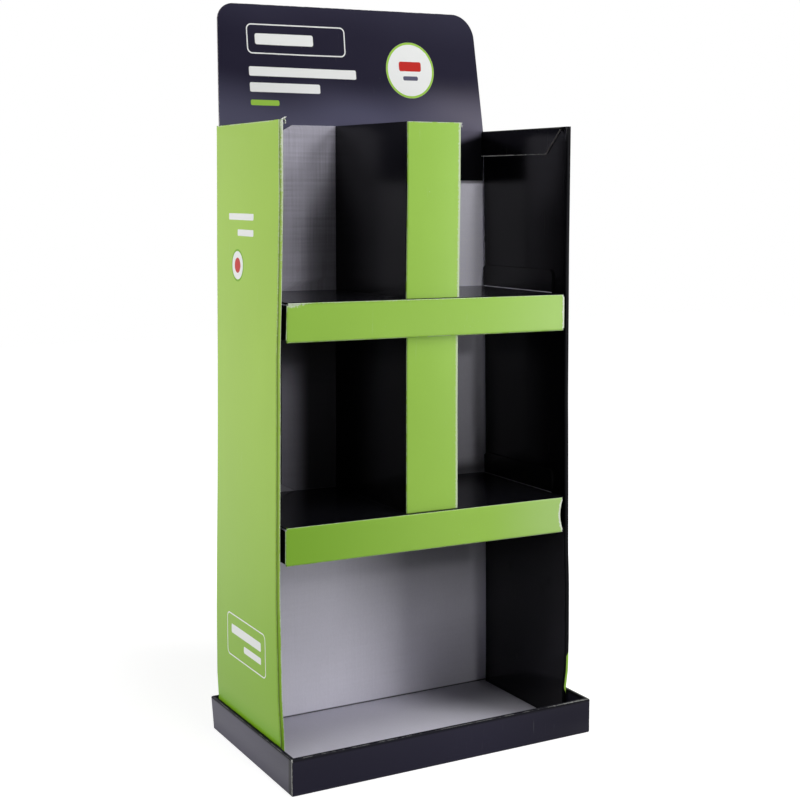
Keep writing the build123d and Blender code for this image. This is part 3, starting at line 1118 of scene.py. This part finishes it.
flakePaper, tree, shader, position = startMaterial("flakePaper", 0.85, 0.1, settled=False)
stain = ramp(tree, speckle(tree, position, 260, 3), 0.50, 0.66, 0.0, flakeFinish["stain"])
tree.links.new(blendTone(tree, stain, inks["paper"], inks["green"]), shader.inputs["Base Color"])
feedBump(tree, shader, [times(tree, drawnOut(tree, position, (900, 900, 300)), 0.25)])


def pickRightEdge(flake):
    for vertex in flake.data.vertices:
        vertex.select = vertex.co.x > 0
    for edge in flake.data.edges:
        edge.select = all(flake.data.vertices[index].select for index in edge.vertices)
    for face in flake.data.polygons:
        face.select = False
    bpy.ops.object.mode_set(mode="EDIT")


def curlFlake(name, place, reach, depth, rise, curl, turn, tail):
    # a strip of paper that slopes up, its right edge spun over and hanging down, then given its thickness
    bpy.ops.object.select_all(action="DESELECT")
    bpy.ops.mesh.primitive_plane_add(size=1, location=place)
    flake = bpy.context.object
    flake.name = name
    pickRightEdge(flake)
    bpy.ops.transform.translate(value=(0, 0, rise))
    bpy.ops.mesh.select_all(action="SELECT")
    bpy.ops.transform.resize(value=(reach, depth, 1), center_override=place)
    bpy.ops.object.mode_set(mode="OBJECT")
    pickRightEdge(flake)
    pivot = (place[0] + reach / 2, place[1], place[2] + rise - curl)
    bpy.ops.mesh.spin(steps=9, angle=radians(turn), center=pivot, axis=(0, 1, 0))
    bpy.ops.mesh.extrude_edges_move(TRANSFORM_OT_translate={"value": (0, 0, -tail)})
    bpy.ops.mesh.select_all(action="SELECT")
    bpy.ops.mesh.remove_doubles(threshold=0.00001)
    bpy.ops.mesh.subdivide(number_cuts=2)
    bpy.ops.mesh.normals_make_consistent(inside=False)
    bpy.ops.object.mode_set(mode="OBJECT")
    bpy.ops.object.transform_apply(location=True, rotation=True, scale=True)
    for vertex in flake.data.vertices:
        vertex.co += noise.noise_vector(vertex.co * flakeFinish["grain"]) * flakeFinish["uneven"]
    thick = flake.modifiers.new("paper", "SOLIDIFY")
    thick.thickness = flakeFinish["thickness"]
    thick.offset = 0
    bpy.ops.object.modifier_apply(modifier=thick.name)
    flake.data.materials.append(flakePaper)
    bpy.ops.object.shade_smooth_by_angle(angle=radians(50))
    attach(flake, "root")


noise.seed_set(flakeFinish["seed"])
for name, shape in flakes.items():
    curlFlake(name, **shape)
print("torn paper added")


# Floor, lamps and camera
studio = {
    "floorSize": 14.0,
    "floorTone": (0.50, 0.50, 0.50, 1),
    "floorLift": 0.80,  # extra white that the camera sees on the floor near the display
    "floorFade": (0.5, 1.4),  # distances between which the floor turns fully white
    "airLight": 0.006,
    "aim": (0, 0, 0.65),
}

lampPlan = {
    "leftBox": {"place": (-3.2, 0.6, 1.4), "size": 1.6, "power": 80},
    "rightHighBox": {"place": (2.0, -2.4, 2.8), "size": 1.2, "power": 46},
    "rightBox": {"place": (2.4, -2.4, 1.2), "size": 1.0, "power": 14},
    "rightLowBox": {"place": (2.4, -2.4, 0.6), "size": 1.0, "power": 28},
    "topBox": {"place": (0.2, -1.2, 3.2), "size": 1.0, "power": 33},
    "frontSlit": {"place": (0.5, -2.4, 1.3), "size": 0.15, "power": 5},
}


def seenDirectly(tree):
    # 1 for what the camera sees, straight or in a mirror or through glass, and 0 for the light itself
    path = tree.nodes.new("ShaderNodeLightPath")
    mirrored = calc(tree, "MAXIMUM", path.outputs["Is Camera Ray"], path.outputs["Is Glossy Ray"])
    return calc(tree, "MAXIMUM", mirrored, path.outputs["Is Transmission Ray"])


world = bpy.data.worlds.new("studioAir")
bpy.context.scene.world = world
world.use_nodes = True
air = world.node_tree
air.nodes.clear()
airOut = air.nodes.new("ShaderNodeOutputWorld")
airSeen = air.nodes.new("ShaderNodeBackground")
airLight = air.nodes.new("ShaderNodeBackground")
airMix = air.nodes.new("ShaderNodeMixShader")
for node, strength in ((airSeen, 1), (airLight, studio["airLight"])):
    node.inputs["Color"].default_value = (1, 1, 1, 1)
    node.inputs["Strength"].default_value = strength
air.links.new(seenDirectly(air), airMix.inputs[0])
air.links.new(airLight.outputs[0], airMix.inputs[1])
air.links.new(airSeen.outputs[0], airMix.inputs[2])
air.links.new(airMix.outputs[0], airOut.inputs["Surface"])

bpy.ops.object.select_all(action="DESELECT")
bpy.ops.mesh.primitive_plane_add(size=studio["floorSize"], location=(0, 0, 0))
floor = bpy.context.object
floor.name = "studioFloor"
floorPaint, tree, shader, position = startMaterial("studioFloorPaint", 0.9, 0.0, settled=False)
shader.inputs["Base Color"].default_value = studio["floorTone"]
shader.inputs["Emission Color"].default_value = (1, 1, 1, 1)
level = ramp(tree, calcVector(tree, "LENGTH", position), *studio["floorFade"], studio["floorLift"], 1.0)
lift = times(tree, seenDirectly(tree), level)
tree.links.new(lift, shader.inputs["Emission Strength"])
floor.data.materials.append(floorPaint)


def softLamp(name, place, size, power):
    bpy.ops.object.light_add(type="AREA", location=place)
    lamp = bpy.context.object
    lamp.name = name
    lamp.data.size = size
    lamp.data.energy = power
    lamp.rotation_euler = (Vector(studio["aim"]) - Vector(place)).to_track_quat("-Z", "Y").to_euler()


for name, lamp in lampPlan.items():
    softLamp(name, **lamp)

cameraView = {
    "place": (-1.2614, -2.2742, 0.9897),
    "yaw": 29.04,  # in degrees, as are the next two
    "pitch": 6.77,
    "roll": 0.05,
    "lens": 65.9,
    "sensor": 36,
    "rise": -0.045,
}
bpy.ops.object.camera_add(location=cameraView["place"])
camera = bpy.context.object
camera.name = "photoCamera"
camera.rotation_euler = (
    radians(90 - cameraView["pitch"]),
    radians(cameraView["roll"]),
    -radians(cameraView["yaw"]),
)
camera.data.lens = cameraView["lens"]
camera.data.sensor_width = cameraView["sensor"]
camera.data.shift_y = cameraView["rise"]
bpy.context.scene.camera = camera
bpy.context.scene.view_settings.view_transform = "Standard"
print("studio set")
